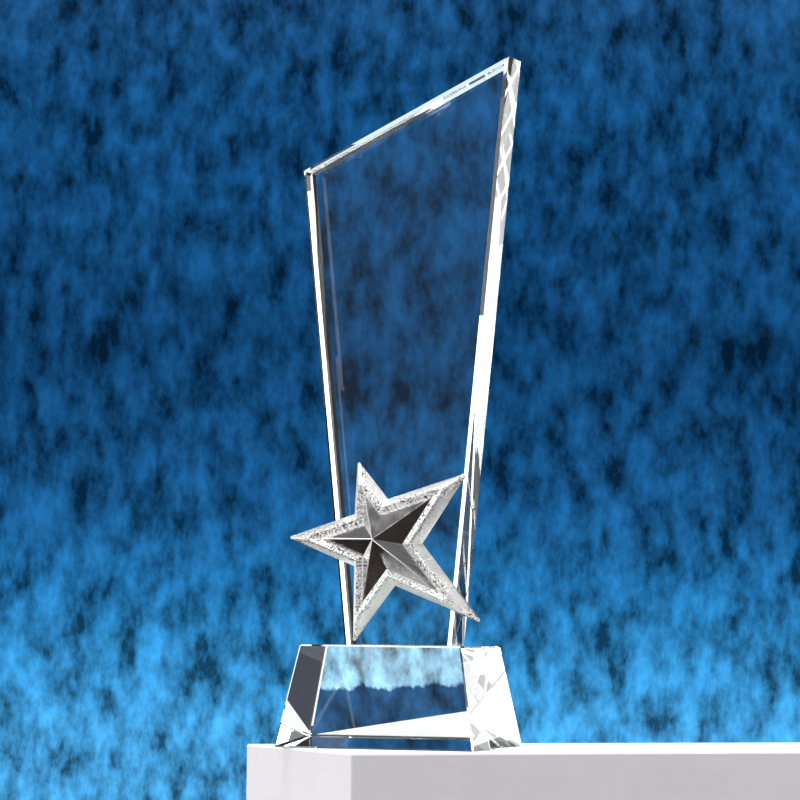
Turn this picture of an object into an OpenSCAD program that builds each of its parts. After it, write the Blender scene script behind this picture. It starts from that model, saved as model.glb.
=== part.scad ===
// Star trophy: a clear crystal blade with a slanted top, bonded upright on a
// crystal block with sloping sides, and a cast metal star bonded to its front.
// Millimetres. X runs to the right, -Y is the front, Z is up. The origin is the
// middle of the underside, so everything stands on z = 0.

/* [Base] */
// Width of the base across its underside
base_w = 81.5; // [64:0.5:120]
// Depth of the base across its underside
base_d = 63.5; // [50:0.5:100]
// Height of the base
base_h = 40; // [25:1:70]
// How far each end slopes inwards over the height
base_lean_w = 7.75; // [2:0.25:15]
// How far the front and the back slope inwards over the height
base_lean_d = 6.5; // [2:0.25:15]
// Polished chamfer on every edge of the base
base_chamfer = 0.6; // [0.2:0.1:2]

/* [Plaque] */
// Width of the plaque where it stands on the base
plaque_w = 44; // [30:1:60]
// Thickness of the plaque
plaque_t = 18; // [10:0.5:24]
// Height of the plaque at its right-hand corner
plaque_h = 229.8; // [150:0.2:300]
// Height of the plaque at its left-hand corner
plaque_low_h = 186.8; // [130:0.2:260]
// Outward lean of the left edge, in degrees
lean_left = 6; // [0:0.2:10]
// Outward lean of the right edge, in degrees
lean_right = 5.2; // [0:0.2:10]
// How far the plaque stands right of the middle of the base
plaque_shift = 1.5; // [-4:0.5:4]
// Polished chamfer round the front and the back face
plaque_chamfer = 1.2; // [0.4:0.1:3]

/* [Star] */
// Reach of the upper left arm from the middle of the star to its point
arm_top = 33; // [28:0.5:42]
// Reach of the upper right arm
arm_right = 44; // [36:0.5:54]
// Reach of the long arm that points down to the right
arm_long = 53; // [42:0.5:64]
// Reach of the arm that points down to the base
arm_foot = 42.5; // [34:0.5:52]
// Reach of the arm that points left past the plaque
arm_left = 39.5; // [32:0.5:50]
// Radius on each point of the star
point_r = 0.6; // [0.3:0.1:1.2]
// How far the middle of the star stands left of the middle of the base
star_left = 5; // [-5:0.5:15]
// Gap between the base and the lowest corner of the star
star_gap = 0.3; // [0.1:0.1:10]
// Height of the crest that runs round the star
crest_h = 6.4; // [4:0.2:9]
// How far the outer wall slopes inwards up to the crest
crest_in = 3; // [2.4:0.1:4]
// Height of the valley between the crest and the facets
valley_h = 4.2; // [3:0.2:6]
// How far the valley lies inside the outline
valley_in = 5.3; // [4.6:0.1:6.5]
// Height of the peak where the facets meet
peak_h = 12; // [9:0.5:18]
// Width of the flat rim at the back that carries the glue
rim_w = 2.2; // [1.6:0.1:3]
// Thickness of the cast metal over the hollow back, measured upwards
skin_t = 2.2; // [1.4:0.1:3]

/* [Adhesive] */
// Thickness of the clear bond between the plaque and the base
bond_t = 0.2; // [0.1:0.1:0.6]
// Thickness of the glue between the star and the plaque
glue_t = 0.3; // [0.1:0.1:0.8]
// Distance that the glue keeps from the edges of the rim
glue_margin = 0.8; // [0.7:0.1:1]
// Width of the line of glue along the rim
glue_w = 1.1; // [0.4:0.1:1.2]

/* [Hidden] */

// Longer than the object is high, so that a block this long cuts right through it.
reach = 3 * (base_h + plaque_h);
point_steps = 6;
plaque_z = base_h + bond_t;
plaque_front = -plaque_t / 2;
star_back = plaque_front - glue_t;
// How much further in the hollow's crest and valley lie than those outside.
hollow_in = skin_t / 3;

// Direction in degrees and reach of the five points and the five notches
// between them, anticlockwise as seen from the front.
star_corners = [
    [-37.8, arm_long], [-4.5, 16.75], [37.1, arm_right], [81.4, 16.1], [108.7, arm_top],
    [138.5, 15.2], [178.8, arm_left], [222.1, 15.4], [254, arm_foot], [287.5, 18.7]
];
outline = [for (c = star_corners) c[1] * [cos(c[0]), sin(c[0])]];
star_z = base_h + star_gap - outline[8][1];

// ---- Cuts by planes. A plane is [normal, distance from the origin]; what it
// keeps lies on the side that its normal points away from.

function unit(v) = v / norm(v);
function plane(normal, point) = [unit(normal), unit(normal) * point];
// The plane that cuts the edge between planes p and q, size in from the edge on both.
function chamfer(p, q, size) =
    let (half = norm(p[0] + q[0]) / 2)
    [(p[0] + q[0]) / (2 * half), (p[1] + q[1]) / (2 * half) - size * sqrt(1 - half * half)];

// All of space behind a plane, as a block.
module behind(p) {
    n = p[0];
    translate(n * p[1])
        rotate([0, acos(n[2]), atan2(n[1], n[0])])
            translate([-reach / 2, -reach / 2, -reach])
                cube(reach);
}

module cut_from_planes(planes) {
    intersection_for(p = planes) behind(p);
}

// ---- Outlines of the star

function wrap(list, i) = list[(i + len(list)) % len(list)];
function left_of(v) = unit([-v[1], v[0]]);
// The outline moved inwards by d, with its corners kept sharp.
function inset(points, d) = [
    for (i = [0:len(points) - 1])
        let (
            a = left_of(points[i] - wrap(points, i - 1)),
            b = left_of(wrap(points, i + 1) - points[i])
        )
        points[i] + d * (a + b) / (1 + a * b)
];
// Each corner of a ring is a list of points, so that it can be sharp or round.
function sharp(points) = [for (p = points) [p]];
// The five points of the star as arcs of radius r, and the notches sharp.
function rounded(points, r) = [
    for (i = [0:len(points) - 1])
        let (
            a = unit(wrap(points, i - 1) - points[i]),
            b = unit(wrap(points, i + 1) - points[i]),
            half = acos(a * b) / 2,
            middle = points[i] + unit(a + b) * r / sin(half),
            first = atan2(a[0], -a[1]),
            turn = 180 - 2 * half
        )
        i % 2 == 1 ? [points[i]] : [
            for (s = [0:point_steps])
                let (angle = first + turn * s / point_steps)
                middle + r * [cos(angle), sin(angle)]
        ]
];

// Where the points of corner i of ring k start in the shell's list of points.
function points_in(corners, i) = i == 0 ? 0 : len(corners[i - 1]) + points_in(corners, i - 1);
function ring_start(rings, k) =
    k == 0 ? 1 : ring_start(rings, k - 1) + points_in(rings[k - 1][0], len(outline));
function corner_start(rings, k, i) = ring_start(rings, k) + points_in(rings[k][0], i);

// A closed skin from one peak, over rings of [corners, height], to another peak.
// Where two rings meet at a corner, at most one of them is round there.
module skin_over(inner_peak, rings, outer_peak) {
    n = len(outline);
    count = ring_start(rings, len(rings));
    polyhedron(
        points = concat(
            [[0, 0, inner_peak]],
            [for (r = rings) for (c = r[0]) for (p = c) [p[0], p[1], r[1]]],
            [[0, 0, outer_peak]]
        ),
        faces = [
            for (i = [0:n - 1]) [0, 1 + i, 1 + (i + 1) % n],
            for (k = [0:len(rings) - 2])
                for (i = [0:n - 1])
                    let (
                        low = corner_start(rings, k, i),
                        high = corner_start(rings, k + 1, i),
                        low_end = low + len(rings[k][0][i]) - 1,
                        high_end = high + len(rings[k + 1][0][i]) - 1,
                        low_next = corner_start(rings, k, (i + 1) % n),
                        high_next = corner_start(rings, k + 1, (i + 1) % n)
                    )
                    for (face = [
                        for (s = [low + 1:1:low_end]) [s - 1, high, s],
                        for (s = [high + 1:1:high_end]) [low_end, s - 1, s],
                        [low_end, high_end, high_next],
                        [low_end, high_next, low_next]
                    ]) face,
            for (i = [0:n - 1]) [count - n + i, count, count - n + (i + 1) % n]
        ]
    );
}

// Turns a shape drawn flat, facing up, to stand at the plaque and face the front.
module at_front(y) {
    translate([0, y, 0]) rotate([90, 0, 0]) children();
}

// ---- Parts

// Solid crystal block, a rectangle with all four sides sloping inwards.
module crystal_base() {
    under = plane([0, 0, -1], [0, 0, 0]);
    top = plane([0, 0, 1], [0, 0, base_h]);
    sides = [
        for (s = [-1, 1]) plane([s * base_h, 0, base_lean_w], [s * base_w / 2, 0, 0]),
        for (s = [-1, 1]) plane([0, s * base_h, base_lean_d], [0, s * base_d / 2, 0])
    ];
    corners = [for (i = [0, 1]) for (j = [2, 3]) chamfer(sides[i], sides[j], base_chamfer)];
    rims = [for (s = sides) for (f = [under, top]) chamfer(s, f, base_chamfer)];
    color("lightcyan") cut_from_planes(concat([under, top], sides, corners, rims));
}

// Clear cured adhesive under the foot of the plaque.
module plaque_bond() {
    w = plaque_w - 2 * plaque_chamfer;
    d = plaque_t - 2 * plaque_chamfer;
    color("aliceblue")
        translate([plaque_shift - w / 2, -d / 2, base_h])
            cube([w, d, bond_t]);
}

// The plaque's own left, right and slanted top planes.
function plaque_rim() =
    let (
        x = [plaque_shift - plaque_w / 2, plaque_shift + plaque_w / 2],
        left = [x[0] - plaque_low_h * tan(lean_left), 0, plaque_z + plaque_low_h],
        right = [x[1] + plaque_h * tan(lean_right), 0, plaque_z + plaque_h],
        slope = right - left
    )
    [
        plane([-cos(lean_left), 0, -sin(lean_left)], [x[0], 0, plaque_z]),
        plane([cos(lean_right), 0, -sin(lean_right)], [x[1], 0, plaque_z]),
        plane([-slope[2], 0, slope[0]], left)
    ];

// Upright crystal blade, wider at the top, with chamfered front and back edges.
module crystal_plaque() {
    foot = plane([0, 0, -1], [0, 0, plaque_z]);
    faces = [for (s = [-1, 1]) plane([0, s, 0], [0, s * plaque_t / 2, 0])];
    edges = [for (f = faces) for (r = plaque_rim()) chamfer(f, r, plaque_chamfer)];
    color("paleturquoise") cut_from_planes(concat([foot], faces, plaque_rim(), edges));
}

// The line of glue on the star's rim, where the rim lies on the plaque's flat face.
module star_glue() {
    color("whitesmoke")
        intersection() {
            at_front(plaque_front)
                translate([-star_left, star_z])
                    linear_extrude(glue_t)
                        difference() {
                            polygon(inset(outline, glue_margin));
                            polygon(inset(outline, glue_margin + glue_w));
                        }
            translate([0, 0, plaque_z])
                cut_from_planes([
                    for (r = plaque_rim())
                        [r[0], r[1] - plaque_chamfer - r[0] * [0, 0, plaque_z]]
                ]);
        }
}

// Hollow-backed cast star: an outer wall up to a crest, a slope down into a
// valley, and ten facets that rise from there to one peak.
module star_casting() {
    color("silver")
        at_front(star_back)
            translate([-star_left, star_z])
                skin_over(
                    peak_h - skin_t,
                    [
                        [sharp(inset(outline, valley_in + hollow_in)), valley_h - skin_t],
                        [sharp(inset(outline, crest_in + hollow_in)), crest_h - skin_t],
                        [sharp(inset(outline, rim_w)), 0],
                        [rounded(outline, point_r), 0],
                        [sharp(inset(outline, crest_in)), crest_h],
                        [sharp(inset(outline, valley_in)), valley_h]
                    ],
                    peak_h
                );
}

crystal_base();
plaque_bond();
crystal_plaque();
star_glue();
star_casting();
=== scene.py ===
"""Star trophy: the looks of a bonded crystal award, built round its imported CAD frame.

The award is a slant-topped crystal blade bonded to a crystal block, with a plated metal star
glued to the blade's lower front. Lengths in the dataclasses are in millimetres.
"""

import logging
import math
from abc import ABC, abstractmethod
from dataclasses import dataclass, field
from enum import Enum
from typing import Callable, Iterable, Sequence

import bmesh
import bpy
from bmesh.types import BMEdge, BMesh, BMFace, BMVert
from bpy.types import Material, Node, Object
from bpy.types import NodeSocket as Socket
from bpy.types import NodeTree as Tree
from mathutils import Matrix, Vector, noise


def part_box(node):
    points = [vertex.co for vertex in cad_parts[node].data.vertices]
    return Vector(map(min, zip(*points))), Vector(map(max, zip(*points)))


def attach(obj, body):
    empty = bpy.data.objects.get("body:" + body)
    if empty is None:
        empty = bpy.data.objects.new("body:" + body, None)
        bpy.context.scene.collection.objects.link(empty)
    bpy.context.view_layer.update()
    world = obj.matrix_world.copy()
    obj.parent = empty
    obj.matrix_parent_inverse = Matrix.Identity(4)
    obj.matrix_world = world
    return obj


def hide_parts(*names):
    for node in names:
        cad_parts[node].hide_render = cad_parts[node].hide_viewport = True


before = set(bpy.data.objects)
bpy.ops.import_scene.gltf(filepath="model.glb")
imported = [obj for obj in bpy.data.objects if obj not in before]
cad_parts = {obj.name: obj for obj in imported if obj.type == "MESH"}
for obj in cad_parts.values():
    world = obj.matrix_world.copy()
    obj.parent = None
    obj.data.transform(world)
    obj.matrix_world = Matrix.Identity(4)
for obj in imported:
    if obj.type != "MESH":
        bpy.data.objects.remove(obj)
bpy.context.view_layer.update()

LOG = logging.getLogger("star_trophy")
MM = 0.001
BODY = "root"
# Name of the vertex layer that holds each pit's depth; the stipple's colour turns it into painted shade.
PIT_SHADE_LAYER = "pit_shade"

# Lengths in mm that count as nothing, and the cosine past which a face counts as square on.
TOUCH = 0.01
SNAP = 1e-5
LEVEL = 0.99

# The values that most of a noise pattern lies between, and the whole range of a factor.
NOISE_SPAN = (0.3, 0.7)
UNIT_SPAN = (0.0, 1.0)


# ---- Colours and shader nodes


def linear(hex_colour: str) -> tuple[float, float, float, float]:
    """Turn an sRGB hex colour into linear RGBA.

    Args:
        hex_colour: six hex digits, with or without a leading hash.

    Returns:
        Linear red, green, blue and an alpha of 1.
    """
    digits = hex_colour.lstrip("#")
    channels = (int(digits[i:i + 2], 16) / 255 for i in (0, 2, 4))
    return (*(c / 12.92 if c <= 0.04045 else ((c + 0.055) / 1.055) ** 2.4 for c in channels), 1.0)


def add_node(
    tree: Tree,
    kind: str,
    settings: dict[str, object] | None = None,
    **inputs: object,
) -> Node:
    """Add one node with its settings and its links.

    Args:
        tree: the node tree that takes the node.
        kind: the node's type, such as "ShaderNodeTexNoise".
        settings: the node's own properties.
        **inputs: a value or an output socket for each input, by name with _ for a space; a name
            such as in_1 means the input at that place.

    Returns:
        The new node.
    """
    node = tree.nodes.new(kind)
    for name, value in (settings or {}).items():
        setattr(node, name, value)
    for name, value in inputs.items():
        key = int(name.removeprefix("in_")) if name.startswith("in_") else name.replace("_", " ")
        socket = node.inputs[key]
        if isinstance(value, Socket):
            tree.links.new(value, socket)
        else:
            socket.default_value = value
    return node


def noise_at(
    tree: Tree,
    coords: Socket,
    size_mm: float,
    detail: float = 2.0,
    roughness: float = 0.5,
    distortion: float = 0.0,
) -> Socket:
    """Lay noise whose blotches have a real size.

    Args:
        tree: the node tree that takes the noise.
        coords: where the pattern lies, in metres.
        size_mm: width of one blotch.
        detail: number of finer layers.
        roughness: weight of the finer layers.
        distortion: how much the blotches are pulled about.

    Returns:
        The noise's factor, about 0.5 on average.
    """
    return add_node(
        tree,
        "ShaderNodeTexNoise",
        Vector=coords,
        Scale=1 / (size_mm * MM),
        Detail=detail,
        Roughness=roughness,
        Distortion=distortion,
    ).outputs["Fac"]


def remapped(
    tree: Tree,
    value: Socket,
    from_range: tuple[float, float],
    to_range: tuple[float, float],
) -> Socket:
    """Stretch a value from one range to another, clamped at both ends.

    Args:
        tree: the node tree that takes the node.
        value: the value to stretch.
        from_range: the range it comes in.
        to_range: the range it goes out in.

    Returns:
        The stretched value.
    """
    return add_node(
        tree,
        "ShaderNodeMapRange",
        in_0=value,
        in_1=from_range[0],
        in_2=from_range[1],
        in_3=to_range[0],
        in_4=to_range[1],
    ).outputs[0]


def mixed(tree: Tree, factor: Socket, first: object, second: object) -> Socket:
    """Mix two colours by a factor.

    Args:
        tree: the node tree that takes the node.
        factor: 0 for the first colour, 1 for the second.
        first: linear RGBA or a socket.
        second: linear RGBA or a socket.

    Returns:
        The mixed colour.
    """
    return add_node(
        tree,
        "ShaderNodeMix",
        {"data_type": "RGBA"},
        in_0=factor,
        in_6=first,
        in_7=second,
    ).outputs[2]


def blended(tree: Tree, factor: Socket, first: str, second: str) -> Socket:
    """Mix two sRGB hex colours by a factor, 0 for the first and 1 for the second."""
    return mixed(tree, factor, linear(first), linear(second))


def added(tree: Tree, value: Socket, factor: float, other: Socket) -> Socket:
    """Give a value times a factor, plus another value."""
    return add_node(
        tree,
        "ShaderNodeMath",
        {"operation": "MULTIPLY_ADD"},
        in_0=value,
        in_1=factor,
        in_2=other,
    ).outputs[0]


def leaning(tree: Tree, direction: Socket, axis: Vector) -> Socket:
    """Give the cosine of the angle between a direction and an axis."""
    return add_node(
        tree,
        "ShaderNodeVectorMath",
        {"operation": "DOT_PRODUCT"},
        in_0=direction,
        in_1=axis.to_tuple(),
    ).outputs["Value"]


def bumped(
    tree: Tree,
    height: Socket,
    depth_mm: float,
    strength: float = 1.0,
    over: Socket | None = None,
) -> Socket:
    """Turn a pattern into small bumps.

    Args:
        tree: the node tree that takes the node.
        height: the pattern, 0 for low and 1 for high.
        depth_mm: real height of the bumps.
        strength: share of the bumps that shows.
        over: the normal of finer bumps that these carry.

    Returns:
        The bumped normal.
    """
    carried = {"Normal": over} if over else {}
    return add_node(
        tree,
        "ShaderNodeBump",
        Strength=strength,
        Distance=depth_mm * MM,
        Height=height,
        **carried,
    ).outputs["Normal"]


# ---- Finishes


@dataclass(frozen=True)
class Finish(ABC):
    """A real material's look, made with one principled shader."""

    @abstractmethod
    def inputs(self, tree: Tree, coords: Socket) -> dict[str, object]:
        """Give the shader's inputs.

        Args:
            tree: the material's node tree.
            coords: the piece's own coordinates, in metres.

        Returns:
            A value or a socket for each input, by name with _ for a space.
        """

    def make(self, name: str) -> Material:
        """Make the material.

        Args:
            name: the material's name.

        Returns:
            The material.
        """
        material = bpy.data.materials.new(name)
        material.use_nodes = True
        tree = material.node_tree
        tree.nodes.clear()
        coords = add_node(tree, "ShaderNodeTexCoord").outputs["Object"]
        shader = add_node(tree, "ShaderNodeBsdfPrincipled", **self.inputs(tree, coords))
        add_node(tree, "ShaderNodeOutputMaterial", Surface=shader.outputs["BSDF"])
        return material


@dataclass(frozen=True)
class OpticalCrystal(Finish):
    """K9 optical crystal, cut and polished: water-clear, with a cool green cast at the edges."""

    ior: float = 1.5168
    clear: str = "fdfffe"
    cast: str = "f3fdf8"
    cast_mm: float = 18.0
    wave_mm: float = 9.0
    wave_depth: float = 0.002

    def inputs(self, tree: Tree, coords: Socket) -> dict[str, object]:
        """Give clear glass whose hand-polished faces are very slightly wavy.

        Args:
            tree: the material's node tree.
            coords: the piece's own coordinates, in metres.

        Returns:
            The shader's inputs.
        """
        waves = noise_at(tree, coords, self.wave_mm, detail=1.0)
        return {
            "Base_Color": blended(tree, noise_at(tree, coords, self.cast_mm), self.clear, self.cast),
            "Roughness": 0.0,
            "IOR": self.ior,
            "Transmission_Weight": 1.0,
            "Normal": bumped(tree, waves, self.wave_depth),
        }


@dataclass(frozen=True)
class WettedJoint(Finish):
    """Crystal in optical contact with clear adhesive: light crosses without bending or a mirror."""

    clear: str = "ffffff"
    speck: str = "eef7f4"
    speck_mm: float = 1.6
    speck_span: tuple[float, float] = (0.5, 0.75)

    def inputs(self, tree: Tree, coords: Socket) -> dict[str, object]:
        """Give a surface that vanishes, but for faint clouds where the adhesive is thicker.

        Args:
            tree: the material's node tree.
            coords: the piece's own coordinates, in metres.

        Returns:
            The shader's inputs.
        """
        spots = noise_at(tree, coords, self.speck_mm, detail=3.0)
        cloudy = remapped(tree, spots, self.speck_span, UNIT_SPAN)
        return {
            "Base_Color": blended(tree, cloudy, self.clear, self.speck),
            "Roughness": 0.0,
            "IOR": 1.0,
            "Transmission_Weight": 1.0,
        }


@dataclass(frozen=True)
class CuredAdhesive(Finish):
    """UV-cured acrylic adhesive: clear, a little milky, with a soft rounded gloss at its edge."""

    clear: str = "f4faf8"
    milk: str = "dfe9e6"
    patch_mm: float = 4.0
    bubble_mm: float = 0.7
    bubble_depth: float = 0.08
    bubble_strength: float = 0.6
    gloss: tuple[float, float] = (0.12, 0.4)
    ior: float = 1.48
    clearness: float = 0.75

    def inputs(self, tree: Tree, coords: Socket) -> dict[str, object]:
        """Give a clear resin with milky, duller patches and tiny dimples.

        Args:
            tree: the material's node tree.
            coords: the piece's own coordinates, in metres.

        Returns:
            The shader's inputs.
        """
        patches = noise_at(tree, coords, self.patch_mm, detail=3.0)
        dimples = noise_at(tree, coords, self.bubble_mm)
        return {
            "Base_Color": blended(tree, patches, self.clear, self.milk),
            "Roughness": remapped(tree, patches, NOISE_SPAN, self.gloss),
            "IOR": self.ior,
            "Transmission_Weight": self.clearness,
            "Normal": bumped(tree, dimples, self.bubble_depth, self.bubble_strength),
        }


@dataclass(frozen=True)
class PlatedFacet(Finish):
    """Polished die-cast zinc under bright nickel-chrome plate: a grey mirror with a fine drag grain."""

    bright: str = "e3e2e2"
    dull: str = "cfcccb"
    grain_mm: float = 0.5
    grain_depth: float = 0.01
    grain_strength: float = 0.35
    wave_mm: float = 6.0
    wave_depth: float = 0.05
    gloss: tuple[float, float] = (0.1, 0.2)

    def inputs(self, tree: Tree, coords: Socket) -> dict[str, object]:
        """Give a mirror with buffing grain in its colour and a slight unevenness.

        Args:
            tree: the material's node tree.
            coords: the piece's own coordinates, in metres.

        Returns:
            The shader's inputs.
        """
        grain = noise_at(tree, coords, self.grain_mm, detail=4.0, roughness=0.6)
        waves = noise_at(tree, coords, self.wave_mm)
        fine = bumped(tree, grain, self.grain_depth, self.grain_strength)
        return {
            "Base_Color": blended(tree, grain, self.bright, self.dull),
            "Metallic": 1.0,
            "Roughness": remapped(tree, waves, NOISE_SPAN, self.gloss),
            "Normal": bumped(tree, waves, self.wave_depth, over=fine),
        }


@dataclass(frozen=True)
class PlatedGrain(Finish):
    """Stippled die-cast zinc, plated: every pebble glints white, and the pits between carry painted shade,
    near black.
    """

    bright: str = "faf9f7"
    # Painted shade: the near-black colour laid into the pits between the pebbles.
    pit_shade: str = "1b1917"
    fleck_mm: float = 0.45
    fleck_depth: float = 0.05
    fleck_strength: float = 0.4
    gloss: tuple[float, float] = (0.3, 0.46)

    def inputs(self, tree: Tree, coords: Socket) -> dict[str, object]:
        """Give bright metal with painted shade, near black, where the pebbled mesh stores the depth of a
        pit.

        Args:
            tree: the material's node tree.
            coords: the piece's own coordinates, in metres.

        Returns:
            The shader's inputs.
        """
        depth = add_node(tree, "ShaderNodeAttribute", {"attribute_name": PIT_SHADE_LAYER}).outputs["Fac"]
        flecks = noise_at(tree, coords, self.fleck_mm, detail=3.0, roughness=0.6)
        # Painted shade in the pits: the deeper the pit, the darker the colour.
        dark = remapped(tree, depth, NOISE_SPAN, UNIT_SPAN)
        return {
            "Base_Color": blended(tree, dark, self.bright, self.pit_shade),
            "Metallic": 1.0,
            "Roughness": remapped(tree, flecks, NOISE_SPAN, self.gloss),
            "Normal": bumped(tree, flecks, self.fleck_depth, self.fleck_strength),
        }


@dataclass(frozen=True)
class CastBack(Finish):
    """Unpolished inside of a zinc casting under thin plate: matt grey with flow marks."""

    light: str = "a9a8a6"
    dark: str = "6e6c6b"
    flow_mm: float = 3.5
    skin_mm: float = 0.6
    skin_depth: float = 0.1
    skin_strength: float = 0.7
    gloss: tuple[float, float] = (0.35, 0.55)

    def inputs(self, tree: Tree, coords: Socket) -> dict[str, object]:
        """Give mottled, rough metal.

        Args:
            tree: the material's node tree.
            coords: the piece's own coordinates, in metres.

        Returns:
            The shader's inputs.
        """
        flow = noise_at(tree, coords, self.flow_mm, detail=5.0, roughness=0.6, distortion=0.8)
        skin = noise_at(tree, coords, self.skin_mm, detail=4.0)
        return {
            "Base_Color": blended(tree, flow, self.light, self.dark),
            "Metallic": 1.0,
            "Roughness": remapped(tree, flow, NOISE_SPAN, self.gloss),
            "Normal": bumped(tree, skin, self.skin_depth, self.skin_strength),
        }


@dataclass(frozen=True)
class PaintedBoard(Finish):
    """Matt white painted board: pale, even, with the faint stipple a roller leaves."""

    light: str = "e9e7ea"
    shade: str = "dfdce1"
    cloud_mm: float = 30.0
    stipple_mm: float = 1.2
    stipple_depth: float = 0.05
    stipple_strength: float = 0.25
    roughness: float = 0.65
    ior: float = 1.5

    def inputs(self, tree: Tree, coords: Socket) -> dict[str, object]:
        """Give a matt paint with soft clouds and fine stipple.

        Args:
            tree: the material's node tree.
            coords: the piece's own coordinates, in metres.

        Returns:
            The shader's inputs.
        """
        clouds = noise_at(tree, coords, self.cloud_mm, detail=3.0)
        stipple = noise_at(tree, coords, self.stipple_mm)
        return {
            "Base_Color": blended(tree, clouds, self.light, self.shade),
            "Roughness": self.roughness,
            "IOR": self.ior,
            "Normal": bumped(tree, stipple, self.stipple_depth, self.stipple_strength),
        }


# ---- Mesh helpers


def add_object(name: str, bm: BMesh, materials: Sequence[Material]) -> Object:
    """Turn a finished bmesh, in millimetres, into an object of the scene, in metres.

    Args:
        name: the object's name.
        bm: the mesh, which is freed.
        materials: the materials by face index.

    Returns:
        The new object.
    """
    bmesh.ops.scale(bm, vec=(MM, MM, MM), verts=bm.verts)
    mesh = bpy.data.meshes.new(name)
    bm.to_mesh(mesh)
    bm.free()
    for material in materials:
        mesh.materials.append(material)
    made = bpy.data.objects.new(name, mesh)
    bpy.context.scene.collection.objects.link(made)
    return made


def add_piece(
    name: str,
    bm: BMesh,
    materials: Sequence[Material],
    stands_for: str,
) -> Object:
    """Turn a finished bmesh, in millimetres, into a piece of the award that rides on its body.

    Args:
        name: the piece's name.
        bm: the mesh, which is freed.
        materials: the materials by face index.
        stands_for: the CAD node that the piece replaces.

    Returns:
        The new object.
    """
    piece = add_object(name, bm, materials)
    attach(piece, BODY)
    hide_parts(stands_for)
    return piece


def bevel_edges(bm: BMesh, edges: Iterable[BMEdge], width: float, segments: int = 1) -> list[BMFace]:
    """Bevel edges by a width along the neighbouring faces.

    Args:
        bm: the mesh.
        edges: the edges to cut.
        width: distance from the edge to the cut, in the mesh's unit.
        segments: number of strips.

    Returns:
        The new faces.
    """
    return bmesh.ops.bevel(
        bm,
        geom=list(edges),
        offset=width,
        offset_type="OFFSET",
        segments=segments,
        profile=0.5,
        affect="EDGES",
        material=-1,
        clamp_overlap=True,
    )["faces"]


def corner_box(bm: BMesh, place: Callable[[Vector], Vector]) -> None:
    """Make a box and put each corner in its place.

    Args:
        bm: the mesh.
        place: gives a corner's place from its signs, -1 or 1 on each axis.
    """
    for vert in bmesh.ops.create_cube(bm, size=2.0)["verts"]:
        vert.co = place(vert.co.copy())


def mark_bonded(
    bm: BMesh,
    level: float,
    low: tuple[float, float],
    high: tuple[float, float],
    facing: float,
    index: int,
) -> None:
    """Cut the bonded rectangle into a flat face and give it its own material.

    Args:
        bm: the mesh.
        level: height of the flat face.
        low: lowest x and y of the rectangle.
        high: highest x and y of the rectangle.
        facing: 1 for a face that looks up, -1 for one that looks down.
        index: the material's place among the piece's materials.
    """

    def is_flat(face: BMFace) -> bool:
        """Tell whether a face lies at the level and looks the right way."""
        return face.normal.z * facing > LEVEL and abs(face.calc_center_median().z - level) < TOUCH

    for axis, place in ((0, low[0]), (0, high[0]), (1, low[1]), (1, high[1])):
        flat = [f for f in bm.faces if is_flat(f)]
        parts = {e for f in flat for e in f.edges} | {v for f in flat for v in f.verts} | set(flat)
        point, normal = Vector((0, 0, 0)), Vector((0, 0, 0))
        point[axis] = place
        normal[axis] = 1
        bmesh.ops.bisect_plane(bm, geom=list(parts), dist=SNAP, plane_co=point, plane_no=normal)
    for face in bm.faces:
        middle = face.calc_center_median()
        if is_flat(face) and low[0] < middle.x < high[0] and low[1] < middle.y < high[1]:
            face.material_index = index


def rise_of(edge: BMEdge) -> float:
    """Give how much higher one end of an edge is than the other."""
    return abs(edge.verts[0].co.z - edge.verts[1].co.z)


def distance_in(point: Vector, outline: Sequence[Vector]) -> float:
    """Give a point's distance from the nearest side of a closed outline.

    Args:
        point: a point in the outline's plane.
        outline: the outline's corners in order.

    Returns:
        The distance, in the outline's unit.
    """
    reach = []
    for first, second in zip(outline, [*outline[1:], outline[0]]):
        along = second - first
        share = max(0.0, min(1.0, (point - first).dot(along) / along.length_squared))
        reach.append((point - first - along * share).length)
    return min(reach)


def edges_of(faces: Iterable[BMFace]) -> list[BMEdge]:
    """Give the faces' edges, each once, in the order of the faces."""
    return list(dict.fromkeys(edge for face in faces for edge in face.edges))


# ---- The award's own parts


@dataclass
class CrystalBase:
    """The crystal block, a rectangle with all four sides sloping inwards."""

    width: float = 81.5
    depth: float = 63.5
    height: float = 40.0
    lean_width: float = 7.75
    lean_depth: float = 6.5
    chamfer: float = 0.6
    crystal: OpticalCrystal = field(default_factory=OpticalCrystal)

    def corner(self, signs: Vector) -> Vector:
        """Give a corner of the block.

        Args:
            signs: -1 or 1 on each axis.

        Returns:
            The corner.
        """
        lean = (1 + signs.z) / 2
        return Vector((
            signs.x * (self.width / 2 - lean * self.lean_width),
            signs.y * (self.depth / 2 - lean * self.lean_depth),
            lean * self.height,
        ))

    def build(self, bond: "BondFilm", joint: Material) -> Object:
        """Build the block with its polished chamfers and the joint's patch on top.

        Args:
            bond: the film that lies on the block.
            joint: the finish where the film wets the crystal.

        Returns:
            The block.
        """
        bm = bmesh.new()
        corner_box(bm, self.corner)
        bevel_edges(bm, bm.edges, self.chamfer)
        bm.normal_update()
        mark_bonded(bm, self.height, bond.low, bond.high, facing=1, index=1)
        materials = [self.crystal.make("k9_crystal_base"), joint]
        return add_piece("crystal_block", bm, materials, "crystal_base")


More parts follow.
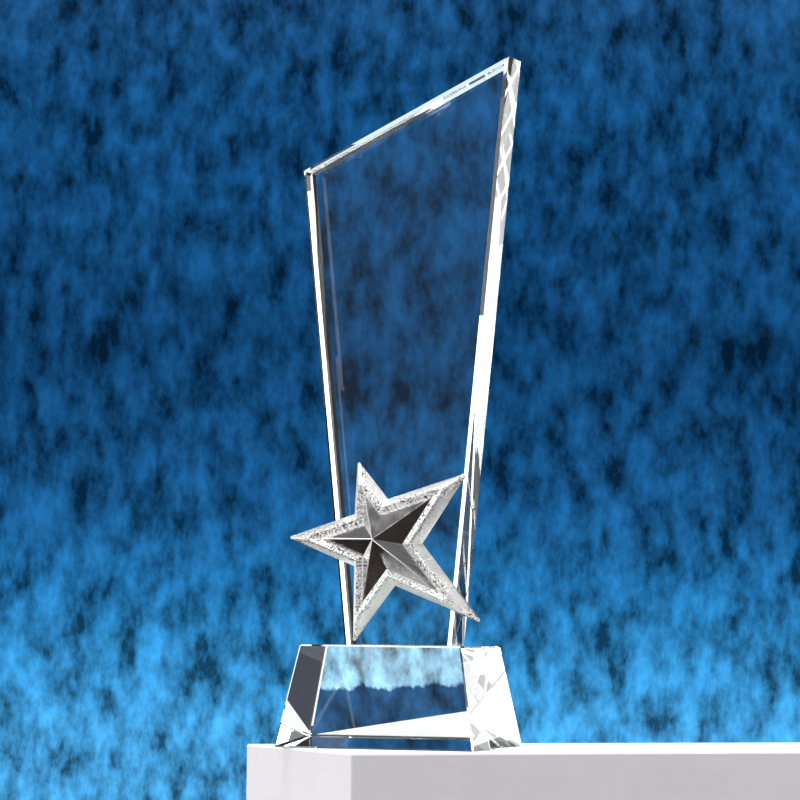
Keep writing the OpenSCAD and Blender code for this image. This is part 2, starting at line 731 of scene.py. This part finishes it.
@dataclass
class CrystalPlaque:
    """The upright crystal blade, wider at the top, with a slanted top edge."""

    foot_width: float = 44.0
    thickness: float = 18.0
    high_side: float = 229.8
    low_side: float = 186.8
    lean_left: float = 6.0
    lean_right: float = 5.2
    shift: float = 1.5
    chamfer: float = 1.2
    foot: float = 40.2
    crystal: OpticalCrystal = field(default_factory=OpticalCrystal)

    @property
    def front(self) -> float:
        """The y of the front face."""
        return -self.thickness / 2

    def side_x(self, sign: float, height: float) -> float:
        """Give the x of a side at a height above the foot."""
        lean = self.lean_left if sign < 0 else self.lean_right
        return self.shift + sign * (self.foot_width / 2 + height * math.tan(math.radians(lean)))

    def corner(self, signs: Vector) -> Vector:
        """Give a corner of the blade.

        Args:
            signs: -1 or 1 on each axis.

        Returns:
            The corner.
        """
        tall = self.low_side if signs.x < 0 else self.high_side
        height = tall * (1 + signs.z) / 2
        return Vector((
            self.side_x(signs.x, height),
            signs.y * self.thickness / 2,
            self.foot + height,
        ))

    def build(self, bond: "BondFilm", joint: Material) -> Object:
        """Build the blade, chamfered round its front and back faces, with the joint under its foot.

        Args:
            bond: the film that the blade stands on.
            joint: the finish where the film wets the crystal.

        Returns:
            The blade.
        """
        bm = bmesh.new()
        corner_box(bm, self.corner)
        bm.normal_update()
        rim = [
            e
            for e in bm.edges
            if any(abs(f.normal.y) > LEVEL for f in e.link_faces)
            and all(f.normal.z > -LEVEL for f in e.link_faces)
        ]
        bevel_edges(bm, rim, self.chamfer)
        bm.normal_update()
        mark_bonded(bm, self.foot, bond.low, bond.high, facing=-1, index=1)
        materials = [self.crystal.make("k9_crystal_plaque"), joint]
        return add_piece("crystal_blade", bm, materials, "crystal_plaque")


@dataclass
class BondFilm:
    """The film of clear adhesive that holds the blade on the block."""

    low: tuple[float, float]
    high: tuple[float, float]
    bottom: float
    top: float
    corner_width: float = 0.8
    corner_strips: int = 4
    ripple: float = 0.12
    ripple_length: float = 2.6
    cuts: int = 48
    shortest_side: float = 5.0

    @classmethod
    def from_frame(cls) -> "BondFilm":
        """Take the film's rectangle and levels from its CAD node."""
        low, high = (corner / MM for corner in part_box("plaque_bond"))
        return cls(low=(low.x, low.y), high=(high.x, high.y), bottom=low.z, top=high.z)

    def build(self, joint: Material, edge: Material) -> Object:
        """Build the film, with an edge that creeps in and out a little as squeezed adhesive does.

        Args:
            joint: the finish of the faces that wet the crystal.
            edge: the finish of the cured edge.

        Returns:
            The film.
        """
        bm = bmesh.new()
        low, high = Vector((*self.low, 0)), Vector((*self.high, 0))
        middle, half = (low + high) / 2, (high - low) / 2
        levels = {-1: self.bottom, 1: self.top}
        corner_box(
            bm,
            lambda s: Vector((middle.x + s.x * half.x, middle.y + s.y * half.y, levels[round(s.z)])),
        )
        bevel_edges(bm, [e for e in bm.edges if rise_of(e) > TOUCH], self.corner_width, self.corner_strips)
        level = [e for e in bm.edges if rise_of(e) < TOUCH and e.calc_length() > self.shortest_side]
        bmesh.ops.subdivide_edges(bm, edges=level, cuts=self.cuts)
        for vert in bm.verts:
            creep = self.ripple * (noise.noise(vert.co / self.ripple_length) + 1) / 2
            vert.co.x -= (vert.co.x - middle.x) / half.x * creep
            vert.co.y -= (vert.co.y - middle.y) / half.y * creep
        bm.normal_update()
        for face in bm.faces:
            face.material_index = 0 if abs(face.normal.z) > LEVEL else 1
        return add_piece("bond_film", bm, [joint, edge], "plaque_bond")


class Zone(Enum):
    """The star's three kinds of surface, by material index."""

    FACET = 0
    GRAIN = 1
    BACK = 2


@dataclass
class CastStar:
    """The hollow-backed cast star: an outer wall, a pebbled crest and ten facets up to a peak.

    Each corner is an angle in degrees and a reach, and foot is the place of the lowest one. The
    wall's top, the crest and the valley are a distance inside the outline and a height above the
    back.
    """

    corners: tuple[tuple[float, float], ...] = (
        (-37.8, 53.0), (-4.5, 16.75), (37.1, 44.0), (81.4, 16.1), (108.7, 33.0),
        (138.5, 15.2), (178.8, 39.5), (222.1, 15.4), (254.0, 42.5), (287.5, 18.7),
    )
    foot: int = 8
    middle_x: float = -5.0
    lowest_z: float = 40.3
    glue: float = 0.3
    land: float = 0.4
    wall_top: tuple[float, float] = (2.2, 5.2)
    crest: tuple[float, float] = (3.0, 6.2)
    valley: tuple[float, float] = (5.3, 5.2)
    peak: float = 12.0
    rim: float = 2.2
    hollow_in: float = 2.2 / 3
    skin: float = 2.2
    tip_radius: float = 0.78
    tip_strips: int = 4
    ridge_width: float = 0.32
    ridge_strips: int = 2
    ray_width: float = 0.1
    passes: int = 9
    pebble_step: float = 0.27
    longest_step: float = 1.5
    longest_share: float = 0.4
    flat_angle: float = 0.02
    pebble_mm: float = 1.15
    pebble_height: float = 0.04
    swell_share: float = 0.6
    pit_share: float = 0.33
    pit_depth: float = 0.22
    smooth_foot: float = 0.2
    facet_grain: float = 0.25
    wall_grain: float = 0.55
    wall_margin: float = 0.3
    crest_margin: float = 0.2
    point_reach: float = 12.0
    point_fade: float = 5.0
    facets: PlatedFacet = field(default_factory=PlatedFacet)
    stipple: PlatedGrain = field(default_factory=PlatedGrain)
    inside: CastBack = field(default_factory=CastBack)

    def outline(self) -> list[Vector]:
        """Give the outline's corners in its own plane, points and notches in turn."""
        turns = [(math.radians(angle), reach) for angle, reach in self.corners]
        return [Vector((reach * math.cos(turn), reach * math.sin(turn))) for turn, reach in turns]

    def tips(self) -> list[tuple[Vector, float]]:
        """Give each point of the star and half the angle between its two sides.

        Returns:
            A place in the outline's plane and an angle in radians for each point.
        """
        ring = self.outline()
        return [
            (ring[k], (ring[k - 1] - ring[k]).angle(ring[(k + 1) % len(ring)] - ring[k]) / 2)
            for k in range(0, len(ring), 2)
        ]

    def terrace(
        self,
        bm: BMesh,
        face: BMFace,
        steps: Sequence[tuple[float, float]],
        start: float,
        zone: Zone,
    ) -> None:
        """Step a face in and along its normal, and give the strips between their zone.

        Args:
            bm: the mesh.
            face: the face that moves.
            steps: distance inside the outline and along the normal at the end of each strip.
            start: how far along the normal the face stands already.
            zone: the strips' zone.
        """
        inside, along = 0.0, start
        for next_inside, next_along in steps:
            strips = bmesh.ops.inset_region(
                bm,
                faces=[face],
                thickness=next_inside - inside,
                depth=next_along - along,
                use_even_offset=True,
                use_boundary=True,
            )["faces"]
            for strip in strips:
                strip.material_index = zone.value
            inside, along = next_inside, next_along

    def shell(self) -> BMesh:
        """Raise the star from its outline and hollow its back.

        Returns:
            The star lying on its back round its own middle, peak up, in millimetres.
        """
        bm = bmesh.new()
        ring = bmesh.ops.create_circle(bm, cap_ends=True, segments=len(self.corners), radius=1.0)["verts"]
        for vert, corner in zip(ring, self.outline()):
            vert.co = corner.to_3d()
        bm.normal_update()
        face = bm.faces[:][0]
        if face.normal.z < 0:
            face.normal_flip()
        raised = bmesh.ops.extrude_face_region(bm, geom=[face], use_keep_orig=True)["geom"]
        top = next(g for g in raised if isinstance(g, BMFace))
        bmesh.ops.translate(bm, vec=(0, 0, self.land), verts=top.verts)
        under = next(f for f in bm.faces if all(abs(v.co.z) < TOUCH for v in f.verts))
        bmesh.ops.recalc_face_normals(bm, faces=bm.faces)
        for side in (f for f in bm.faces if abs(f.normal.z) < 1 - LEVEL):
            side.material_index = Zone.GRAIN.value
        self.terrace(bm, top, (self.wall_top, self.crest, self.valley), self.land, Zone.GRAIN)
        hollow = (
            (self.rim, 0.0),
            (self.crest[0] + self.hollow_in, self.skin - self.crest[1]),
            (self.valley[0] + self.hollow_in, self.skin - self.valley[1]),
        )
        self.terrace(bm, under, hollow, 0.0, Zone.BACK)
        for cap, height, zone in (
            (top, self.peak, Zone.FACET),
            (under, self.peak - self.skin, Zone.BACK),
        ):
            fan = bmesh.ops.poke(bm, faces=[cap])
            fan["verts"][0].co = Vector((0, 0, height))
            for face in fan["faces"]:
                face.material_index = zone.value
        bmesh.ops.recalc_face_normals(bm, faces=bm.faces)
        return bm

    def soften(self, bm: BMesh) -> None:
        """Round the star's points and give the facets' ridges the narrow flat that polishing leaves.

        Args:
            bm: the star, lying on its back.
        """
        tips = self.tips()
        ridges: list[BMEdge] = []
        hips: list[list[BMEdge]] = [[] for _ in tips]
        for edge in bm.edges:
            low, high = sorted(edge.verts, key=lambda v: v.co.z)
            zones = {f.material_index for f in edge.link_faces}
            reach = [(low.co.xy - tip).length for tip, _ in tips]
            near = reach.index(min(reach))
            tip = tips[near][0]
            if (low.co.xy.normalized() - tip.normalized()).length > self.ray_width:
                continue
            climbs = low.co.z < high.co.z - TOUCH
            inwards = reach[near] < (high.co.xy - tip).length + TOUCH
            if zones == {Zone.FACET.value} and high.co.z > self.peak - TOUCH:
                ridges.append(edge)
            elif zones == {Zone.GRAIN.value} and high.co.z < self.crest[1] + TOUCH and climbs and inwards:
                hips[near].append(edge)
        bevel_edges(bm, ridges, self.ridge_width, self.ridge_strips)
        for (_, half), chain in zip(tips, hips):
            bevel_edges(bm, chain, self.tip_radius / math.tan(half), self.tip_strips)

    def split(self, bm: BMesh) -> list[BMFace]:
        """Cut the wall and the crest into triangles.

        Args:
            bm: the star.

        Returns:
            The triangles.
        """
        wide = [f for f in bm.faces if f.material_index == Zone.GRAIN.value and len(f.verts) > 3]
        bmesh.ops.triangulate(bm, faces=wide)
        return [f for f in bm.faces if f.material_index == Zone.GRAIN.value]

    def drop_doubles(self, bm: BMesh) -> None:
        """Delete the slivers that dividing can leave lying on each other in pairs.

        Args:
            bm: the star.
        """
        stacks: dict[frozenset[BMVert], list[BMFace]] = {}
        for face in bm.faces:
            stacks.setdefault(frozenset(face.verts), []).append(face)
        spare = [face for stack in stacks.values() if len(stack) > 1 for face in stack[len(stack) % 2:]]
        bmesh.ops.delete(bm, geom=spare, context="FACES")

    def refine(self, bm: BMesh) -> None:
        """Divide the wall and the crest finely enough to carry pebbles.

        Args:
            bm: the star.
        """
        limit = self.longest_step * self.pebble_step
        for _ in range(self.passes):
            long = [e for e in edges_of(self.split(bm)) if e.calc_length() > limit]
            if not long:
                break
            worth = max(limit, self.longest_share * max(e.calc_length() for e in long))
            bmesh.ops.subdivide_edges(bm, edges=[e for e in long if e.calc_length() > worth], cuts=1)
            faces = self.split(bm)
            grain = set(faces)
            inner = [e for e in edges_of(faces) if len(e.link_faces) == 2]
            inner = [e for e in inner if grain.issuperset(e.link_faces)]
            flat = [e for e in inner if e.calc_face_angle() < self.flat_angle]
            bmesh.ops.beautify_fill(bm, faces=faces, edges=flat, method="AREA")
            self.drop_doubles(bm)

    def strength_at(self, vert: BMVert, outline: Sequence[Vector]) -> float:
        """Give the share of the pebbles' height that shows at a vertex of the grain.

        Args:
            vert: the vertex.
            outline: the star's outline.

        Returns:
            0 for smooth, 1 for the full height.
        """
        if vert.co.z < self.smooth_foot:
            return 0.0
        if any(f.material_index == Zone.FACET.value for f in vert.link_faces):
            return self.facet_grain
        if vert.co.z > self.wall_top[1] - self.wall_margin or self.is_inside_crest(vert.co, outline):
            return 1.0
        near = min((vert.co.xy - tip).length for tip in outline[::2])
        return max(self.wall_grain, min(1.0, (self.point_reach - near) / self.point_fade))

    def is_inside_crest(self, point: Vector, outline: Sequence[Vector]) -> bool:
        """Tell whether a point of the grain lies on the inner slope, from crest to valley."""
        deep = self.crest[0] - self.crest_margin
        return point.z >= self.valley[1] - TOUCH and distance_in(point.xy, outline) > deep

    def pebble(self, bm: BMesh) -> None:
        """Push pebbles out of the crest and, more weakly, out of the wall, and store the pits' depth,
        which the stipple's colour paints as shade.

        Args:
            bm: the star, finely divided.
        """
        bm.normal_update()
        pit_shade = bm.verts.layers.float.new(PIT_SHADE_LAYER)
        outline = self.outline()
        moves = []
        for vert in bm.verts:
            if not any(f.material_index == Zone.GRAIN.value for f in vert.link_faces):
                continue
            strength = self.strength_at(vert, outline)
            nearest, _, third = noise.voronoi(vert.co / self.pebble_mm, distance_metric="DISTANCE")[0][:3]
            hole = max(0.0, 1 - (third - nearest) / self.pit_share)
            swell = noise.noise(vert.co / (self.swell_share * self.pebble_mm))
            height = swell * self.pebble_height - hole * self.pit_depth
            moves.append((vert, vert.normal * height * strength))
            # The pit's depth, which the stipple's colour paints as shade.
            vert[pit_shade] = hole * strength
        for vert, move in moves:
            vert.co += move

    def build(self, plaque: CrystalPlaque) -> Object:
        """Build the star and stand it against the blade.

        Args:
            plaque: the blade that carries the star.

        Returns:
            The star.
        """
        bm = self.shell()
        self.soften(bm)
        self.refine(bm)
        self.pebble(bm)
        bmesh.ops.recalc_face_normals(bm, faces=bm.faces)
        middle_z = self.lowest_z - self.outline()[self.foot].y
        place = Matrix.Translation((self.middle_x, plaque.front - self.glue, middle_z))
        stand = place @ Matrix.Rotation(math.pi / 2, 4, "X")
        bmesh.ops.transform(bm, matrix=stand, verts=bm.verts)
        for face in bm.faces:
            face.smooth = face.material_index == Zone.GRAIN.value
        materials = [
            self.facets.make("chrome_plated_zinc_facets"),
            self.stipple.make("chrome_plated_zinc_stipple"),
            self.inside.make("as_cast_zinc"),
        ]
        return add_piece("cast_star", bm, materials, "star_casting")


# ---- The studio


@dataclass(frozen=True)
class SoftBox:
    """A soft box round the award; it lights and reflects, but the camera doesn't see it.

    The azimuth is in degrees from the front, positive to the right, and the elevation in degrees
    above the horizon. Width and height are in metres. A radiance of 1 renders white.
    """

    name: str
    azimuth: float
    elevation: float
    width: float
    height: float
    radiance: float
    colour: str = "ffffff"

    def hang(self, distance: float, centre: float) -> None:
        """Hang the box so that it faces the middle of the award.

        Args:
            distance: metres from the middle of the award.
            centre: height of that middle, in metres.
        """
        data = bpy.data.lights.new(self.name, "AREA")
        data.shape = "RECTANGLE"
        data.size = self.width
        data.size_y = self.height
        data.energy = self.radiance * math.pi * self.width * self.height
        data.color = linear(self.colour)[:3]
        lamp = bpy.data.objects.new(self.name, data)
        turn, rise = math.radians(self.azimuth), math.radians(self.elevation)
        away = Vector((
            math.sin(turn) * math.cos(rise),
            -math.cos(turn) * math.cos(rise),
            math.sin(rise),
        ))
        lamp.location = away * distance + Vector((0, 0, centre))
        lamp.rotation_mode = "QUATERNION"
        lamp.rotation_quaternion = away.to_track_quat("Z", "Y")
        lamp.visible_camera = False
        bpy.context.scene.collection.objects.link(lamp)


# Each box fills a direction that a facet mirrors or a path through the crystal leaves by; the
# gaps between them stay dark and draw the crystal's edges.
SOFT_BOXES = (
    SoftBox("left_softbox", -122, 14, 0.41, 1.1, 2.4),
    SoftBox("left_back_strip", -135, 0, 0.25, 0.38, 2.0),
    SoftBox("left_low_softbox", -97, -21, 1.35, 0.46, 1.8),
    SoftBox("left_floor_fill", -59, -35, 1.44, 0.26, 1.2),
    SoftBox("front_left_softbox", -60, 2, 1.05, 0.75, 1.8),
    SoftBox("front_left_key", -50, 36, 0.85, 0.65, 2.4),
    SoftBox("front_left_strip", -33.8, 17, 0.42, 0.3, 1.7),
    SoftBox("front_fill", -1, 17, 0.6, 0.46, 1.7),
    SoftBox("front_high_fill", -17, 53, 0.55, 0.35, 1.5),
    SoftBox("front_low_fill", -19, -46, 0.6, 0.4, 2.2),
    SoftBox("front_low_strip", -11, -14, 0.22, 0.2, 1.2),
    SoftBox("front_right_fill", 36, 5, 0.6, 0.35, 1.7),
    SoftBox("right_softbox", 72, -6, 1.1, 0.75, 1.5),
    SoftBox("right_high_fill", 98, 25, 0.45, 0.3, 1.5),
    SoftBox("right_back_softbox", 118, 2, 0.75, 0.8, 1.6),
    SoftBox("right_back_high_softbox", 134, 48, 0.5, 0.45, 1.5),
    SoftBox("right_back_fill", 151, 6, 0.68, 0.5, 0.25),
    SoftBox("right_back_strip", 162.5, 7, 0.13, 0.32, 2.6),
    SoftBox("back_edge_strip", 171.5, -20, 0.11, 0.1, 1.4),
    SoftBox("back_low_strip", -175, -14, 0.32, 0.12, 1.1, "dff0ff"),
    SoftBox("back_high_strip", -170.5, 16, 0.14, 0.16, 1.2),
    SoftBox("back_low_fill", -163, -42, 1.3, 0.42, 1.2),
    SoftBox("back_high_softbox", -160, 45, 0.8, 0.3, 1.3),
    SoftBox("top_softbox", 20, 84, 1.0, 1.0, 11.0),
)


@dataclass
class Studio:
    """A plain pale plinth in soft studio light before a plain blue cloth.

    Angles are in degrees. The stops of a backdrop are the sine of the elevation and the colour.
    """

    azimuth: float = 18.90
    distance: float = 1705.4
    eye_height: float = 49.58
    pitch: float = 2.914
    yaw: float = 0.047
    roll: float = 0.678
    lens: float = 195.25
    sensor: float = 36.0
    plinth: tuple[tuple[float, float], ...] = ((-18, -78), (190, 31), (-61, 28.7), (190, 156.7))
    plinth_height: float = 400.0
    plinth_gap: float = 0.1
    plinth_edge: float = 0.8
    plinth_strips: int = 2
    board: PaintedBoard = field(default_factory=PaintedBoard)
    light_distance: float = 1.3
    light_centre: float = 0.12
    mottle_stretch: tuple[float, float, float] = (1.3, 1.3, 0.7)
    mottle_scale: float = 150.0
    mottle_span: tuple[float, float] = (0.34, 0.7)
    mottle_shade: tuple[float, float] = (0.25, 2.05)
    fold: float = -0.1906
    fold_slope: float = 0.076
    fold_ragged: float = 0.006
    fold_blur: float = 0.0004
    cloth_reach: float = 22.0
    cloth_fade: float = 4.0
    room_fade: tuple[float, float] = (-0.35, 0.1)
    open_stops: tuple[tuple[float, str], ...] = (
        (-0.2, "a6d4f2"), (-0.12, "4fa0d2"), (-0.03, "4299d2"), (-0.012, "3186be"), (0.005, "1f6ba2"),
        (0.025, "154f80"), (0.06, "0e3d67"), (0.12, "114675"), (0.4, "3c4a56"), (1.0, "8c8c90"),
    )
    shaded_stops: tuple[tuple[float, str], ...] = (
        (-1.0, "1c1815"), (-0.6, "2b2420"), (-0.24, "26466a"), (-0.19, "24527e"),
    )
    front_stops: tuple[tuple[float, str], ...] = (
        (-1.0, "1c1815"), (-0.5, "3a3431"), (-0.2, "4e4d4f"), (0.1, "6a6b6e"), (0.5, "66666a"),
        (0.72, "5c5c60"), (1.0, "8c8c90"),
    )
    back_stops: tuple[tuple[float, str], ...] = (
        (-1.0, "1c1815"), (-0.5, "2b2623"), (-0.32, "484b58"), (-0.1, "2c2b30"), (0.2, "28282c"),
        (0.6, "5c5c60"), (1.0, "8c8c90"),
    )

    def across(self, right: float, away: float) -> Vector:
        """Turn a place as the camera sees it into x and y.

        Args:
            right: distance right of the award.
            away: distance beyond the award.

        Returns:
            The place, at height 0.
        """
        turn = math.radians(self.azimuth)
        return Vector((
            right * math.cos(turn) - away * math.sin(turn),
            right * math.sin(turn) + away * math.cos(turn),
            0,
        ))

    def add_camera(self) -> None:
        """Add the camera, a long lens just above the base's top that looks slightly up."""
        turn = math.radians(self.azimuth + self.yaw)
        rise = math.radians(self.pitch)
        tilt = math.radians(self.roll)
        forward = Vector((
            -math.sin(turn) * math.cos(rise),
            math.cos(turn) * math.cos(rise),
            math.sin(rise),
        ))
        level = Vector((math.cos(turn), math.sin(turn), 0))
        upright = level.cross(forward)
        right = level * math.cos(tilt) + upright * math.sin(tilt)
        above = upright * math.cos(tilt) - level * math.sin(tilt)
        data = bpy.data.cameras.new("camera")
        data.lens = self.lens
        data.sensor_width = self.sensor
        data.clip_start = 0.01
        data.clip_end = 100.0
        camera = bpy.data.objects.new("camera", data)
        eye = self.across(0, -self.distance) * MM
        eye.z = self.eye_height * MM
        rows = Matrix((right, above, -forward)).transposed().to_4x4()
        camera.matrix_world = Matrix.Translation(eye) @ rows
        bpy.context.scene.collection.objects.link(camera)
        bpy.context.scene.camera = camera

    def plinth_corner(self, signs: Vector) -> Vector:
        """Give a corner of the plinth.

        Args:
            signs: -1 or 1 on each axis.

        Returns:
            The corner.
        """
        corner = self.across(*self.plinth[(signs.x > 0) + 2 * (signs.y > 0)])
        corner.z = -self.plinth_gap if signs.z > 0 else -self.plinth_height
        return corner

    def add_plinth(self) -> None:
        """Stand the award on a pale painted plinth that is turned away from the camera."""
        bm = bmesh.new()
        corner_box(bm, self.plinth_corner)
        bevel_edges(bm, bm.edges, self.plinth_edge, self.plinth_strips)
        plinth = add_object("plinth", bm, [self.board.make("matt_white_board")])

    def ramp(self, tree: Tree, rise: Socket, stops: Sequence[tuple[float, str]]) -> Socket:
        """Colour the backdrop by height.

        Args:
            tree: the world's node tree.
            rise: the sine of the view's elevation.
            stops: the sine of each stop's elevation and its colour.

        Returns:
            The colour.
        """
        node = add_node(tree, "ShaderNodeValToRGB", Fac=remapped(tree, rise, (-1.0, 1.0), UNIT_SPAN))
        while len(node.color_ramp.elements) < len(stops):
            node.color_ramp.elements.new(0.5)
        for element, (sine, colour) in zip(node.color_ramp.elements, stops):
            element.position = (sine + 1) / 2
            element.color = linear(colour)
        return node.outputs["Color"]

    def cloth(self, tree: Tree, direction: Socket, rise: Socket) -> Socket:
        """Hang a mottled blue cloth behind the award, with its lower, shaded fold below a hard edge.

        Args:
            tree: the world's node tree.
            direction: the view's direction.
            rise: the sine of the view's elevation.

        Returns:
            The cloth's colour.
        """
        stretched = add_node(
            tree,
            "ShaderNodeVectorMath",
            {"operation": "MULTIPLY"},
            in_0=direction,
            in_1=self.mottle_stretch,
        ).outputs["Vector"]
        mottle = add_node(
            tree,
            "ShaderNodeTexNoise",
            Vector=stretched,
            Scale=self.mottle_scale,
            Detail=5.0,
            Roughness=0.62,
        ).outputs["Fac"]
        level = added(tree, leaning(tree, direction, self.across(1, 0)), -self.fold_slope, rise)
        ragged = added(tree, mottle, self.fold_ragged, level)
        middle = self.fold + self.fold_ragged / 2
        edge = remapped(tree, ragged, (middle - self.fold_blur, middle + self.fold_blur), UNIT_SPAN)
        shaded = self.ramp(tree, rise, self.shaded_stops)
        colour = mixed(tree, edge, shaded, self.ramp(tree, rise, self.open_stops))
        return add_node(
            tree,
            "ShaderNodeVectorMath",
            {"operation": "SCALE"},
            in_0=colour,
            in_3=remapped(tree, mottle, self.mottle_span, self.mottle_shade),
        ).outputs["Vector"]

    def add_world(self) -> None:
        """Surround the award with a grey studio, darker behind, and a blue cloth behind the award."""
        world = bpy.data.worlds.new("studio")
        world.use_nodes = True
        tree = world.node_tree
        tree.nodes.clear()
        direction = add_node(tree, "ShaderNodeTexCoord").outputs["Generated"]
        parts = add_node(tree, "ShaderNodeSeparateXYZ", Vector=direction)
        rise = parts.outputs["Z"]
        room = mixed(
            tree,
            remapped(tree, parts.outputs["Y"], self.room_fade, UNIT_SPAN),
            self.ramp(tree, rise, self.front_stops),
            self.ramp(tree, rise, self.back_stops),
        )
        edge, inside = (
            math.cos(math.radians(angle))
            for angle in (self.cloth_reach + self.cloth_fade, self.cloth_reach)
        )
        facing = remapped(tree, leaning(tree, direction, self.across(0, 1)), (edge, inside), UNIT_SPAN)
        around = mixed(tree, facing, room, self.cloth(tree, direction, rise))
        glow = add_node(tree, "ShaderNodeBackground", Color=around, Strength=1.0)
        add_node(tree, "ShaderNodeOutputWorld", Surface=glow.outputs["Background"])
        bpy.context.scene.world = world

    def set_up_render(self) -> None:
        """Choose plain colours and enough bounces for light to cross the crystal many times."""
        scene = bpy.context.scene
        scene.view_settings.view_transform = "Standard"
        scene.cycles.max_bounces = 32
        scene.cycles.transmission_bounces = 28
        scene.cycles.glossy_bounces = 16
        scene.cycles.diffuse_bounces = 3
        scene.cycles.use_denoising = True

    def build(self) -> None:
        """Put up the plinth, the backdrop, the lights and the camera."""
        self.add_plinth()
        self.add_world()
        for box in SOFT_BOXES:
            box.hang(self.light_distance, self.light_centre)
        self.add_camera()
        self.set_up_render()


def main() -> None:
    """Build the award's parts in order, then the studio round them."""
    joint = WettedJoint().make("adhesive_wetted_crystal")
    adhesive = CuredAdhesive().make("uv_cured_acrylic")
    bond = BondFilm.from_frame()
    plaque = CrystalPlaque()
    pieces = [
        CrystalBase().build(bond, joint),
        bond.build(joint, adhesive),
        plaque.build(bond, joint),
        CastStar().build(plaque),
    ]
    for piece in pieces:
        LOG.info("%s: %d faces", piece.name, len(piece.data.polygons))
    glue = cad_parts["star_glue"]
    glue.data.materials.clear()
    glue.data.materials.append(adhesive)
    Studio().build()


if __name__ == "__main__":
    logging.basicConfig(level=logging.INFO)
    main()
